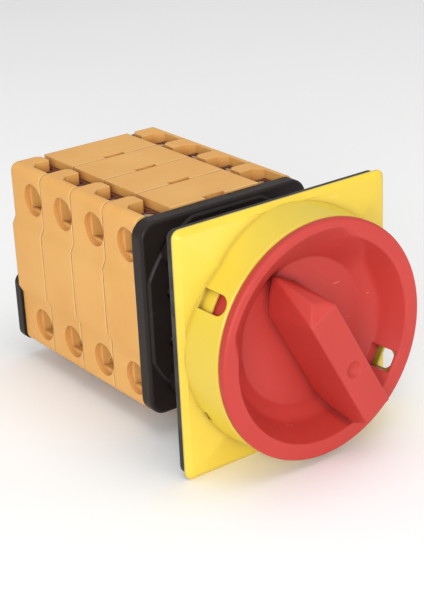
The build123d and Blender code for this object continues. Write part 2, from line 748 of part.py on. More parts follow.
def contact_bridge(front, up):
    """The copper bar that joins two fixed contacts, with its tips."""
    middle = (STEM_NEAR + STEM_FAR) / 2
    with BuildPart() as bridge:
        with BuildSketch(top_plane(BAR_LOW, up)):
            with Locations((0, up * (front + middle - 1.5))):
                RectangleRounded(2 * BAR_HALF, 8.0, 1.0)
            with Locations((0, up * (front + middle))):
                Circle(1.5, mode=Mode.SUBTRACT)
        extrude(amount=BAR_THICK)
        with BuildSketch(top_plane(BAR_LOW, up)):
            with GridLocations(2 * TIP_X, 1, 2, 1):
                with Locations((0, up * (front + ENTRY_Y + 1.0))):
                    Circle(TIP_R)
        extrude(amount=-TIP_H)
    return bridge.part


for index in range(STAGES):
    stage = index + 1
    front = BODY_FRONT + index * PITCH
    save(stage_housing(front), f"stage_housing_{stage}")
    save(terminal_covers(front), f"terminal_covers_{stage}")
    save(fixed_contacts(front), f"fixed_contacts_{stage}")
    save(terminal_screws(front), f"terminal_screws_{stage}")
    save(stage_cam(front), f"cam_{stage}")
    for up, word in ((1, "upper"), (-1, "lower")):
        save(contact_carrier(front, up), f"carrier_{word}_{stage}")
        save(contact_bridge(front, up), f"bridge_{word}_{stage}")
        ends = sorted((up * (BAR_LOW + BAR_THICK + 0.05), up * (CHAMBER_TOP - 0.05)))
        middle = front + (STEM_NEAR + STEM_FAR) / 2
        coil_spring(f"contact_spring_{word}_{stage}", 0, middle, ends[0], ends[1], 2.6, 0.6, 3)
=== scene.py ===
"""Looks of a panel-mount rotary isolator switch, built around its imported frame.

The front is a red grip handle in a padlockable yellow escutcheon. Behind the panel gap stand a black
mounting plate, four tan contact stages and a black rear plate. Lengths are in metres, except those of the
handle's section and cutters, which are in millimetres.
"""

import logging
import math
from dataclasses import dataclass
from enum import Enum
from typing import Iterable, Union

import bmesh
import bpy
from mathutils import Matrix, Quaternion, Vector


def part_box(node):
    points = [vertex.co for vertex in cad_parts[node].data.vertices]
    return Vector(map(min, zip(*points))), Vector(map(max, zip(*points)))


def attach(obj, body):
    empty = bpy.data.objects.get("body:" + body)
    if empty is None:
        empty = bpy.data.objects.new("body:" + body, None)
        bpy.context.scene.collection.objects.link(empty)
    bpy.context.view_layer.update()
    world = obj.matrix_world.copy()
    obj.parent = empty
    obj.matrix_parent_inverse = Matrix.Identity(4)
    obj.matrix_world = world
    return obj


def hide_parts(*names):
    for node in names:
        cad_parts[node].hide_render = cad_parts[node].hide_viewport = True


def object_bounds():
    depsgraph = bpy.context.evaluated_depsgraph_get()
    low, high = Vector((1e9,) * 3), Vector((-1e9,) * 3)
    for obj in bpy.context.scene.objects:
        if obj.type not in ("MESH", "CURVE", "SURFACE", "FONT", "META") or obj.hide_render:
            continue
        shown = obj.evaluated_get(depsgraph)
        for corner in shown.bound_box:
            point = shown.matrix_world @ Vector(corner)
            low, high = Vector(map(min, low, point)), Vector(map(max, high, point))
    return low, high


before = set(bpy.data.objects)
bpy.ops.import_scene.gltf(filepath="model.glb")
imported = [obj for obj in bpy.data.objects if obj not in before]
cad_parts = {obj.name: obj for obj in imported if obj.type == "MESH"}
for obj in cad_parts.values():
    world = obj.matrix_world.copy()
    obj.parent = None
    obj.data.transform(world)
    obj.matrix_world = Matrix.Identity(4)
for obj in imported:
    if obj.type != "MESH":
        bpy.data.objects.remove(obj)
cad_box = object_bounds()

MM = 0.001
STAGES = range(1, 5)
WELD = 2e-6

Socket = bpy.types.NodeSocket
Colour = tuple[float, float, float]
Place = tuple[float, float, float]
Spot = tuple[float, float]
Input = Union[float, int, bool, tuple, Socket]
Inputs = dict[Union[str, int], Input]

log = logging.getLogger("isolator")


class Level(Enum):
    """Which row of contacts a piece belongs to; the value is its direction along Z."""

    UPPER = 1
    LOWER = -1

    @property
    def word(self) -> str:
        """The level as it stands in node names."""
        return self.name.lower()


class Side(Enum):
    """Left or right of the shaft, seen from the handle; the value is its direction along X."""

    LEFT = -1
    RIGHT = 1


# ------------------------------------------------------------------ node trees
class Wiring:
    """Adds and joins the nodes of one tree."""

    def __init__(self, tree: bpy.types.NodeTree) -> None:
        """Works on a tree.

        Args:
            tree: the shader or geometry tree that takes the nodes.
        """
        self.tree = tree

    def add(self, kind: str, inputs: Inputs | None = None, **settings: object) -> bpy.types.Node:
        """Adds one node.

        Args:
            kind: the node's type name.
            inputs: values or sockets, by input name or number.
            settings: properties of the node itself.

        Returns:
            The new node.
        """
        node = self.tree.nodes.new(kind)
        for key, value in settings.items():
            setattr(node, key, value)
        for key, value in (inputs or {}).items():
            socket = node.inputs[key]
            if isinstance(value, Socket):
                self.tree.links.new(value, socket)
            else:
                socket.default_value = value
        return node

    def mix(self, factor: Input, first: Input, second: Input) -> Socket:
        """Mixes two colours.

        Args:
            factor: share of the second colour.
            first: colour where the factor is 0.
            second: colour where the factor is 1.

        Returns:
            The mixed colour.
        """
        ends = {0: factor, 6: rgba(first), 7: rgba(second)}
        return self.add("ShaderNodeMix", ends, data_type="RGBA").outputs[2]

    def spread(self, value: Input, low: float, high: float, to_low: float, to_high: float) -> Socket:
        """Maps a range of values onto another and clamps it.

        Args:
            value: the number to map.
            low: start of its range.
            high: end of its range.
            to_low: result at the start.
            to_high: result at the end.

        Returns:
            The mapped value.
        """
        ends = {0: value, 1: low, 2: high, 3: to_low, 4: to_high}
        return self.add("ShaderNodeMapRange", ends).outputs[0]

    def noise(self, place: Input, per_metre: float, detail: float = 2.0) -> Socket:
        """Noise with a given number of features to the metre.

        Args:
            place: the coordinates to read.
            per_metre: how many features fit in a metre.
            detail: octaves of finer noise.

        Returns:
            The noise value.
        """
        settings = {"Vector": place, "Scale": per_metre, "Detail": detail}
        return self.add("ShaderNodeTexNoise", settings).outputs[0]

    def maths(self, operation: str, first: Input, second: Input = 0.0) -> Socket:
        """One sum on two numbers.

        Args:
            operation: the Math node's operation.
            first: the first number.
            second: the second number.

        Returns:
            The result.
        """
        return self.add("ShaderNodeMath", {0: first, 1: second}, operation=operation).outputs[0]


def rgba(colour: Input) -> Input:
    """A colour with its alpha, or the socket itself."""
    return colour if isinstance(colour, Socket) else (*colour, 1.0)


# -------------------------------------------------------------------- finishes
@dataclass(frozen=True)
class Finish:
    """What every finish has: a name and the record's slot it stands for."""

    name: str
    slot: str

    def make(self) -> bpy.types.Material:
        """Builds the material, or returns it if it is there already."""
        ready = bpy.data.materials.get(self.name)
        if ready is not None:
            return ready
        material = bpy.data.materials.new(self.name)
        material.use_nodes = True
        wiring = Wiring(material.node_tree)
        self.wire(wiring, material.node_tree.nodes["Principled BSDF"])
        return material

    def wire(self, wiring: Wiring, shader: bpy.types.Node) -> None:
        """Joins the pattern to the shader.

        Args:
            wiring: the material's tree.
            shader: its Principled shader.
        """
        raise NotImplementedError


@dataclass(frozen=True)
class MouldedPlastic(Finish):
    """Moulded plastic: cloudy pigment, spark-eroded grain, worn edges, scuffs and painted shade in its corners."""

    colour: Colour
    cloud: Colour
    # Colour of worn edges and scuffs; stacked mouldings also use it for a painted highlight behind each joint.
    rubbed: Colour
    # Painted shade: the colour that corners and creases darken towards.
    grime: Colour
    roughness: float
    specular: float = 0.5
    grain_per_metre: float = 1900.0
    grain_height: float = 0.00003
    scuff: float = 0.5
    edge_radius: float = 0.0005
    edge_wear: float = 0.35

    CLOUDS = 38.0
    SCUFF_STRETCH = (90.0, 420.0, 900.0)
    SCUFF_TURN = (0.5, 0.9, 0.35)
    CORNER_REACH = 0.0035

    def wire(self, wiring: Wiring, shader: bpy.types.Node) -> None:
        """Joins the pattern to the shader.

        Args:
            wiring: the material's tree.
            shader: its Principled shader.
        """
        place = wiring.add("ShaderNodeTexCoord").outputs["Object"]
        cloud = wiring.spread(wiring.noise(place, self.CLOUDS, 4.0), 0.3, 0.7, 0.0, 1.0)
        colour = wiring.mix(cloud, self.colour, self.cloud)
        rounded = wiring.add("ShaderNodeBevel", {"Radius": self.edge_radius}, samples=6).outputs[0]
        edge = self._edge(wiring, rounded, place)
        colour = wiring.mix(edge, colour, self.rubbed)
        scratch = self._scuffs(wiring, place)
        colour = wiring.mix(scratch, colour, self.rubbed)
        # Painted shade: ambient occlusion darkens corners and creases towards the shade colour.
        reach = {"Distance": self.CORNER_REACH}
        corner = wiring.add("ShaderNodeAmbientOcclusion", reach, samples=6, only_local=True)
        shade = wiring.spread(corner.outputs["AO"], 0.35, 0.85, 1.0, 0.0)
        colour = wiring.mix(shade, colour, self.grime)
        wiring.tree.links.new(self._joins(wiring, place, colour), shader.inputs["Base Color"])
        grain = wiring.noise(place, self.grain_per_metre, 3.0)
        gloss = wiring.spread(grain, 0.35, 0.65, self.roughness - 0.05, self.roughness + 0.06)
        gloss = wiring.maths("ADD", gloss, wiring.maths("MULTIPLY", scratch, 0.25))
        wiring.tree.links.new(gloss, shader.inputs["Roughness"])
        shader.inputs["Specular IOR Level"].default_value = self.specular
        height = wiring.maths("SUBTRACT", grain, wiring.maths("MULTIPLY", scratch, 0.8))
        bump = {"Strength": 0.6, "Distance": self.grain_height, "Height": height, "Normal": rounded}
        wiring.tree.links.new(wiring.add("ShaderNodeBump", bump).outputs[0], shader.inputs["Normal"])

    def _joins(self, wiring: Wiring, place: Input, colour: Socket) -> Socket:
        """Hook for lines where mouldings meet; a single moulding has none.

        Args:
            wiring: the material's tree.
            place: the coordinates to read.
            colour: the colour so far.

        Returns:
            The finished colour.
        """
        return colour

    def _edge(self, wiring: Wiring, rounded: Socket, place: Input) -> Socket:
        """How worn an edge is, uneven along its length.

        Args:
            wiring: the material's tree.
            rounded: normal with its edges rounded over.
            place: the coordinates to read.

        Returns:
            0 on a flat face, more on an edge.
        """
        normal = wiring.add("ShaderNodeNewGeometry").outputs["Normal"]
        both = {0: rounded, 1: normal}
        turn = wiring.add("ShaderNodeVectorMath", both, operation="DOT_PRODUCT").outputs["Value"]
        uneven = wiring.spread(wiring.noise(place, 260.0), 0.35, 0.65, 0.35, 1.0)
        rub = wiring.spread(turn, 0.995, 0.86, 0.0, self.edge_wear)
        return wiring.maths("MULTIPLY", rub, uneven)

    def _scuffs(self, wiring: Wiring, place: Input) -> Socket:
        """Short pale scratches in a few patches.

        Args:
            wiring: the material's tree.
            place: the coordinates to read.

        Returns:
            How scratched the surface is.
        """
        stretch = {"Vector": place, "Rotation": self.SCUFF_TURN, "Scale": self.SCUFF_STRETCH}
        line = wiring.add("ShaderNodeMapping", stretch).outputs[0]
        fine = wiring.spread(wiring.noise(line, 1.0, 1.0), 0.735, 0.775, 0.0, self.scuff)
        patch = wiring.spread(wiring.noise(place, 55.0), 0.5, 0.62, 0.0, 1.0)
        return wiring.maths("MULTIPLY", fine, patch)


@dataclass(frozen=True)
class StackedPlastic(MouldedPlastic):
    """Plastic of mouldings stacked along the shaft, with a dusty line at each joint and a painted highlight just
    behind it.
    """

    first_joint: float = 31.5 * MM
    pitch: float = 20.6 * MM
    line_half: float = 0.30 * MM
    # Painted highlight: how far behind each joint a pale line stands in for light caught by the step.
    lip: float = 0.75 * MM
    dust: Colour = (0.20, 0.075, 0.026)

    def _joins(self, wiring: Wiring, place: Input, colour: Socket) -> Socket:
        """Draws the joints, with a painted highlight just behind each.

        Args:
            wiring: the material's tree.
            place: the coordinates to read.
            colour: the colour so far.

        Returns:
            The finished colour.
        """
        depth = wiring.add("ShaderNodeSeparateXYZ", {0: place}).outputs["Y"]
        past = wiring.maths("SUBTRACT", depth, self.first_joint - self.pitch / 2)
        past = wiring.maths("MODULO", past, self.pitch)
        past = wiring.maths("SUBTRACT", past, self.pitch / 2)
        uneven = wiring.spread(wiring.noise(place, 320.0, 3.0), 0.35, 0.65, 0.45, 0.95)
        normal = wiring.add("ShaderNodeNewGeometry").outputs["True Normal"]
        along = wiring.add("ShaderNodeSeparateXYZ", {0: normal}).outputs["Y"]
        outside = wiring.spread(wiring.maths("ABSOLUTE", along), 0.6, 0.8, 1.0, 0.0)
        uneven = wiring.maths("MULTIPLY", uneven, outside)
        # Painted highlight: a pale line just behind each joint, where the step would catch light.
        lip = wiring.maths("ABSOLUTE", wiring.maths("SUBTRACT", past, self.lip))
        lip = wiring.spread(lip, self.line_half * 0.5, self.lip * 0.6, 0.55, 0.0)
        colour = wiring.mix(wiring.maths("MULTIPLY", lip, uneven), colour, self.rubbed)
        line = wiring.spread(wiring.maths("ABSOLUTE", past), self.line_half * 0.35, self.line_half, 1.0, 0.0)
        return wiring.mix(wiring.maths("MULTIPLY", line, uneven), colour, self.dust)


@dataclass(frozen=True)
class WorkedMetal(Finish):
    """Plated, drawn or brushed metal with a drawn direction and a little tarnish."""

    colour: Colour
    tarnish: Colour
    roughness: float

    ALONG = (1.0, 1.0, 0.08)
    LINES = 2600.0

    def wire(self, wiring: Wiring, shader: bpy.types.Node) -> None:
        """Joins the pattern to the shader.

        Args:
            wiring: the material's tree.
            shader: its Principled shader.
        """
        place = wiring.add("ShaderNodeTexCoord").outputs["Object"]
        drawn = wiring.add("ShaderNodeMapping", {"Vector": place, "Scale": self.ALONG}).outputs[0]
        line = wiring.noise(drawn, self.LINES, 2.0)
        spot = wiring.spread(wiring.noise(place, 300.0, 4.0), 0.42, 0.68, 0.0, 1.0)
        wiring.tree.links.new(wiring.mix(spot, self.colour, self.tarnish), shader.inputs["Base Color"])
        gloss = wiring.spread(line, 0.3, 0.7, self.roughness * 0.75, self.roughness * 1.3)
        gloss = wiring.maths("ADD", gloss, wiring.maths("MULTIPLY", spot, 0.1))
        wiring.tree.links.new(gloss, shader.inputs["Roughness"])
        shader.inputs["Metallic"].default_value = 1.0
        bump = {"Strength": 0.4, "Distance": 0.00001, "Height": line}
        wiring.tree.links.new(wiring.add("ShaderNodeBump", bump).outputs[0], shader.inputs["Normal"])


@dataclass(frozen=True)
class SealRubber(Finish):
    """Matte moulded rubber with a dusty bloom."""

    colour: Colour
    bloom: Colour

    def wire(self, wiring: Wiring, shader: bpy.types.Node) -> None:
        """Joins the pattern to the shader.

        Args:
            wiring: the material's tree.
            shader: its Principled shader.
        """
        place = wiring.add("ShaderNodeTexCoord").outputs["Object"]
        dust = wiring.spread(wiring.noise(place, 120.0, 5.0), 0.45, 0.75, 0.0, 0.6)
        wiring.tree.links.new(wiring.mix(dust, self.colour, self.bloom), shader.inputs["Base Color"])
        grain = wiring.noise(place, 1500.0, 3.0)
        wiring.tree.links.new(wiring.spread(grain, 0.3, 0.7, 0.62, 0.8), shader.inputs["Roughness"])
        bump = {"Strength": 0.5, "Distance": 0.00004, "Height": grain}
        wiring.tree.links.new(wiring.add("ShaderNodeBump", bump).outputs[0], shader.inputs["Normal"])


@dataclass(frozen=True)
class PaleFloor(Finish):
    """A matte, almost white table top."""

    colour: Colour
    mottle: Colour

    def wire(self, wiring: Wiring, shader: bpy.types.Node) -> None:
        """Joins the pattern to the shader.

        Args:
            wiring: the material's tree.
            shader: its Principled shader.
        """
        place = wiring.add("ShaderNodeTexCoord").outputs["Object"]
        cloud = wiring.noise(place, 6.0, 3.0)
        wiring.tree.links.new(wiring.mix(cloud, self.colour, self.mottle), shader.inputs["Base Color"])
        shader.inputs["Roughness"].default_value = 0.9


# In each plastic below, the fourth colour is painted shade for corners and creases. The third is for worn edges and
# scuffs, and on the tan stages it also paints a highlight behind each joint.
RED = MouldedPlastic(
    "red_handle_plastic", "red_plastic",
    colour=(0.44, 0.034, 0.026), cloud=(0.48, 0.041, 0.032), rubbed=(0.72, 0.24, 0.20), grime=(0.20, 0.010, 0.008),
    roughness=0.46, specular=0.32, scuff=0.7, edge_radius=0.0007, edge_wear=0.16,
)
YELLOW = MouldedPlastic(
    "yellow_escutcheon_plastic", "yellow_plastic",
    colour=(0.67, 0.485, 0.038), cloud=(0.71, 0.53, 0.052), rubbed=(0.82, 0.70, 0.25), grime=(0.30, 0.16, 0.008),
    roughness=0.38, scuff=0.35, edge_radius=0.0005, edge_wear=0.3,
)
TAN = StackedPlastic(
    "tan_stage_moulding", "tan_plastic",
    colour=(0.69, 0.345, 0.088), cloud=(0.74, 0.40, 0.115), rubbed=(0.92, 0.64, 0.30), grime=(0.52, 0.23, 0.065),
    roughness=0.58, specular=0.35, grain_per_metre=1500.0, grain_height=0.00005, scuff=0.25, edge_wear=0.5,
)
BLACK = MouldedPlastic(
    "black_plate_plastic", "black_plastic",
    colour=(0.016, 0.011, 0.009), cloud=(0.022, 0.016, 0.014), rubbed=(0.070, 0.066, 0.070),
    grime=(0.007, 0.005, 0.004), roughness=0.42, specular=0.18, scuff=0.5, edge_radius=0.0006, edge_wear=0.5,
)
INSULATOR = MouldedPlastic(
    "red_brown_insulator", "brown_insulator",
    colour=(0.095, 0.018, 0.010), cloud=(0.13, 0.030, 0.016), rubbed=(0.24, 0.09, 0.055), grime=(0.045, 0.010, 0.006),
    roughness=0.45, scuff=0.2,
)
CAM = MouldedPlastic(
    "cam_acetal", "cam_plastic",
    colour=(0.52, 0.50, 0.45), cloud=(0.57, 0.56, 0.51), rubbed=(0.70, 0.69, 0.65), grime=(0.29, 0.27, 0.24),
    roughness=0.4, scuff=0.2,
)
NYLON = MouldedPlastic(
    "latch_nylon", "latch_nylon",
    colour=(0.06, 0.06, 0.065), cloud=(0.085, 0.085, 0.09), rubbed=(0.18, 0.18, 0.19), grime=(0.02, 0.02, 0.02),
    roughness=0.38, scuff=0.2,
)
COPPER = WorkedMetal("brushed_copper", "copper", (0.83, 0.43, 0.27), (0.55, 0.26, 0.14), 0.3)
ZINC = WorkedMetal("zinc_plated_steel", "zinc_steel", (0.72, 0.71, 0.67), (0.52, 0.50, 0.44), 0.26)
SPRING = WorkedMetal("drawn_spring_wire", "spring_steel", (0.55, 0.55, 0.56), (0.38, 0.37, 0.36), 0.22)
SEAL = SealRubber("seal_rubber", "black_rubber", (0.020, 0.019, 0.019), (0.075, 0.072, 0.068))
FLOOR = PaleFloor("pale_table", "none", (0.93, 0.93, 0.93), (0.90, 0.90, 0.895))


# ----------------------------------------------------------------- mesh making
def piece_from_mesh(mesh: bpy.types.Mesh, name: str) -> bpy.types.Object:
    """Puts a mesh in the scene as an object at the origin.

    Args:
        mesh: the mesh, already in place.
        name: the piece's name.

    Returns:
        The new object.
    """
    piece = bpy.data.objects.new(name, mesh)
    bpy.context.scene.collection.objects.link(piece)
    return piece


def settle(piece: bpy.types.Object) -> bpy.types.Object:
    """Turns a piece's modifiers into its mesh and removes them.

    Args:
        piece: the object with its modifiers.

    Returns:
        The same object with a plain mesh.
    """
    graph = bpy.context.evaluated_depsgraph_get()
    shown = piece.evaluated_get(graph)
    mesh = bpy.data.meshes.new_from_object(shown, preserve_all_data_layers=True, depsgraph=graph)
    mesh.name = piece.name
    piece.modifiers.clear()
    piece.data = mesh
    return piece


def welded(node: str, name: str) -> bpy.types.Object:
    """A copy of a CAD node with its triangles joined into whole faces.

    Args:
        node: the CAD node.
        name: the new piece's name.

    Returns:
        The copy, an object at the origin.
    """
    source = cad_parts[node].data
    mesh = bpy.data.meshes.new(name)
    mesh.from_pydata([v.co for v in source.vertices], [], [p.vertices for p in source.polygons])
    work = bmesh.new()
    work.from_mesh(mesh)
    bmesh.ops.remove_doubles(work, verts=work.verts, dist=WELD)
    bmesh.ops.dissolve_degenerate(work, dist=WELD, edges=work.edges)
    bmesh.ops.dissolve_limit(work, angle_limit=math.radians(0.4), verts=work.verts, edges=work.edges)
    work.to_mesh(mesh)
    work.free()
    return piece_from_mesh(mesh, name)


def smoothed(piece: bpy.types.Object) -> bpy.types.Object:
    """Shades a piece smooth between its sharp edges and keeps its flat faces flat.

    Args:
        piece: the object to finish.

    Returns:
        The same object with a plain mesh.
    """
    piece.data.shade_smooth()
    piece.data.set_sharp_from_angle(angle=math.radians(32.0))
    weighted = piece.modifiers.new("flat faces stay flat", "WEIGHTED_NORMAL")
    weighted.keep_sharp = True
    weighted.weight = 80
    return settle(piece)


def outward(mesh: bpy.types.Mesh) -> None:
    """Turns every face of a closed mesh outwards."""
    work = bmesh.new()
    work.from_mesh(mesh)
    bmesh.ops.recalc_face_normals(work, faces=work.faces)
    work.to_mesh(mesh)
    work.free()


def block(centre: Place, sizes: Place, turn: float) -> bpy.types.Object:
    """A box whose centre is given in axes turned about the shaft.

    Args:
        centre: centre in the turned axes.
        sizes: lengths in the turned axes.
        turn: the turn about the shaft, in radians.

    Returns:
        The box as a closed piece.
    """
    spin = Matrix.Rotation(-turn, 4, "Y")
    place = spin @ Matrix.Translation(centre) @ Matrix.Diagonal((*sizes, 1.0))
    work = bmesh.new()
    bmesh.ops.create_cube(work, size=1.0, matrix=place)
    mesh = bpy.data.meshes.new("block")
    work.to_mesh(mesh)
    work.free()
    return piece_from_mesh(mesh, "block")


def combine(piece: bpy.types.Object, other: bpy.types.Object, operation: str) -> None:
    """Adds or takes away another piece, which is used up.

    Args:
        piece: the piece that changes.
        other: the piece that is added or taken away.
        operation: "UNION" or "DIFFERENCE".
    """
    join = piece.modifiers.new("join", "BOOLEAN")
    join.operation = operation
    join.solver = "EXACT"
    join.object = other
    settle(piece)
    mesh = other.data
    bpy.data.objects.remove(other)
    bpy.data.meshes.remove(mesh)


def ease(value: float, low: float, high: float) -> float:
    """Goes smoothly from 0 at the low end to 1 at the high end."""
    share = min(max((value - low) / (high - low), 0.0), 1.0)
    return share * share * (3 - 2 * share)


def rounded_corner(before: Spot, corner: Spot, after: Spot, cut: float) -> list[Spot]:
    """Points that round a corner of a section.

    Args:
        before: the point before the corner.
        corner: the corner.
        after: the point after it.
        cut: how far from the corner the rounding starts.

    Returns:
        Five points along the rounding.
    """
    start, end = (
        tuple(c + (o - c) * cut / math.dist(corner, other) for c, o in zip(corner, other))
        for other in (before, after)
    )
    points = []
    for step in range(5):
        t = step / 4
        first, middle, last = (1 - t) ** 2, 2 * t * (1 - t), t * t
        points.append(tuple(first * a + middle * c + last * b for a, c, b in zip(start, corner, end)))
    return points


def mount_piece(piece: bpy.types.Object, finish: Finish, body: str, nodes: Iterable[str]) -> bpy.types.Object:
    """Dresses a new piece and puts it on its body in place of the CAD nodes.

    Args:
        piece: the finished object.
        finish: what it is made of.
        body: the CAD body it moves with.
        nodes: the CAD nodes it stands for.

    Returns:
        The same object.
    """
    piece.data.materials.clear()
    piece.data.materials.append(finish.make())
    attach(piece, body)
    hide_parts(*nodes)
    log.info("%s: %d faces on %s", piece.name, len(piece.data.polygons), body)
    return piece


def dress_node(node: str, finish: Finish) -> None:
    """Gives a CAD node that stays its finish.

    Args:
        node: the CAD node.
        finish: what it is made of.
    """
    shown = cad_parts[node]
    shown.data.materials.clear()
    shown.data.materials.append(finish.make())
    log.info("%s: %s", node, finish.name)


# -------------------------------------------------------------- geometry trees
class Recipe:
    """A geometry tree that grows one sort of repeated piece on a set of points."""

    def __init__(self, name: str) -> None:
        """Starts an empty tree.

        Args:
            name: the tree's name.
        """
        self.tree = bpy.data.node_groups.new(name, "GeometryNodeTree")
        self.wiring = Wiring(self.tree)
        self.values: dict[str, object] = {}
        self.tree.interface.new_socket("Points", in_out="INPUT", socket_type="NodeSocketGeometry")
        self.tree.interface.new_socket("Pieces", in_out="OUTPUT", socket_type="NodeSocketGeometry")
        self.given = self.tree.nodes.new("NodeGroupInput")

    def size(self, label: str, value: float) -> Socket:
        """A named length or number of the tree.

        Args:
            label: its name.
            value: its value.

        Returns:
            The socket that carries it.
        """
        return self._named(label, "NodeSocketFloat", value)

    def count(self, label: str, value: int) -> Socket:
        """A named whole number of the tree.

        Args:
            label: its name.
            value: its value.

        Returns:
            The socket that carries it.
        """
        return self._named(label, "NodeSocketInt", value)

    def _named(self, label: str, kind: str, value: object) -> Socket:
        """Adds one input and remembers its value by its identifier.

        Args:
            label: its name.
            kind: its socket type.
            value: its value.

        Returns:
            The socket that carries it.
        """
        socket = self.tree.interface.new_socket(label, in_out="INPUT", socket_type=kind)
        self.values[socket.identifier] = value
        return self.given.outputs[label]

    def product(self, first: Input, second: Input) -> Socket:
        """The product of two sizes."""
        return self.wiring.maths("MULTIPLY", first, second)

    def vector(self, x: Input = 0.0, y: Input = 0.0, z: Input = 0.0) -> Socket:
        """Three sizes as one vector."""
        return self.wiring.add("ShaderNodeCombineXYZ", {0: x, 1: y, 2: z}).outputs[0]

    def cylinder(self, radius: Input, depth: Input, corners: int = 40) -> Socket:
        """A closed cylinder about Z, centred on the origin."""
        sizes = {"Vertices": corners, "Radius": radius, "Depth": depth}
        return self.wiring.add("GeometryNodeMeshCylinder", sizes).outputs["Mesh"]

    def cone(self, foot: Input, top: Input, depth: Input, corners: int = 40) -> Socket:
        """A closed cone about Z that stands on the origin."""
        sizes = {"Vertices": corners, "Radius Top": top, "Radius Bottom": foot, "Depth": depth}
        return self.wiring.add("GeometryNodeMeshCone", sizes).outputs["Mesh"]

    def box(self, x: Input, y: Input, z: Input) -> Socket:
        """A block centred on the origin."""
        return self.wiring.add("GeometryNodeMeshCube", {"Size": self.vector(x, y, z)}).outputs["Mesh"]

    def move(self, shape: Socket, x: Input = 0.0, y: Input = 0.0, z: Input = 0.0) -> Socket:
        """The shape, shifted."""
        shift = {"Geometry": shape, "Translation": self.vector(x, y, z)}
        return self.wiring.add("GeometryNodeTransform", shift).outputs[0]

    def unite(self, *shapes: Socket) -> Socket:
        """The shapes fused into one solid."""
        node = self.wiring.add("GeometryNodeMeshBoolean", operation="UNION", solver="EXACT")
        for shape in shapes:
            self.tree.links.new(shape, node.inputs["Mesh 2"])
        return node.outputs[0]

    def cut(self, shape: Socket, *cutters: Socket) -> Socket:
        """The shape with the cutters taken away."""
        whole = {"Mesh 1": shape}
        node = self.wiring.add("GeometryNodeMeshBoolean", whole, operation="DIFFERENCE", solver="EXACT")
        for cutter in cutters:
            self.tree.links.new(cutter, node.inputs["Mesh 2"])
        return node.outputs[0]

    def join(self, *shapes: Socket) -> Socket:
        """The shapes side by side in one mesh."""
        node = self.wiring.add("GeometryNodeJoinGeometry")
        for shape in shapes:
            self.tree.links.new(shape, node.inputs[0])
        return node.outputs[0]

    def helix(self, radius: Input, height: Input, turns: Input, wire: Input, corners: int, steps: int) -> Socket:
        """A wire wound about Z from the origin up.

        Args:
            radius: radius of the winding.
            height: its height.
            turns: how many turns it has.
            wire: radius of the wire.
            corners: sides of the wire's section.
            steps: points to each turn.

        Returns:
            The wire as a mesh.
        """
        winding = {"Resolution": steps, "Rotations": turns, "Start Radius": radius, "End Radius": radius}
        line = self.wiring.add("GeometryNodeCurveSpiral", {**winding, "Height": height}).outputs[0]
        section = {"Resolution": corners, "Radius": wire}
        ring = self.wiring.add("GeometryNodeCurvePrimitiveCircle", section).outputs[0]
        swept = {"Curve": line, "Profile Curve": ring, "Fill Caps": True}
        return self.wiring.add("GeometryNodeCurveToMesh", swept).outputs[0]

    def grow(
        self, name: str, shape: Socket, points: list[Place], aims: list[Place], finish: Finish, twist: float = 0.0,
    ) -> bpy.types.Object:
        """Sets the shape on every point and returns the plain mesh.

        Args:
            name: the new piece's name.
            shape: the piece that repeats, standing on the origin and pointing up.
            points: where the pieces stand.
            aims: the direction in which each one points.
            finish: what they are made of.
            twist: the most that a piece is turned about its own axis, in radians.

        Returns:
            One object that holds all the pieces.
        """
        label = {"Name": "aim"}
        aim = self.wiring.add("GeometryNodeInputNamedAttribute", label, data_type="FLOAT_VECTOR").outputs[0]
        turned = self.wiring.add("FunctionNodeAlignRotationToVector", {"Vector": aim}, axis="Z").outputs[0]
        seed = self.count("Seed", 7)
        spin = self.wiring.add("FunctionNodeRandomValue", {"Seed": seed}, data_type="FLOAT")
        spin.inputs[3].default_value = twist
        about = {"Rotation": turned, "Rotate By": self.vector(z=spin.outputs[1])}
        own = self.wiring.add("FunctionNodeRotateRotation", about, rotation_space="LOCAL")
        many = {"Points": self.given.outputs["Points"], "Instance": shape, "Rotation": own.outputs[0]}
        placed = self.wiring.add("GeometryNodeInstanceOnPoints", many).outputs[0]
        real = self.wiring.add("GeometryNodeRealizeInstances", {"Geometry": placed}).outputs[0]
        paint = {"Geometry": real, "Material": finish.make()}
        painted = self.wiring.add("GeometryNodeSetMaterial", paint).outputs[0]
        self.wiring.add("NodeGroupOutput", {0: painted})
        mesh = bpy.data.meshes.new(name)
        mesh.from_pydata(points, [], [])
        flat = [part for aim in aims for part in aim]
        mesh.attributes.new("aim", "FLOAT_VECTOR", "POINT").data.foreach_set("vector", flat)
        piece = piece_from_mesh(mesh, name)
        modifier = piece.modifiers.new("growth", "NODES")
        modifier.node_group = self.tree
        for identifier, value in self.values.items():
            modifier[identifier] = value
        settle(piece)
        piece.data.shade_smooth()
        piece.data.set_sharp_from_angle(angle=math.radians(35.0))
        return piece


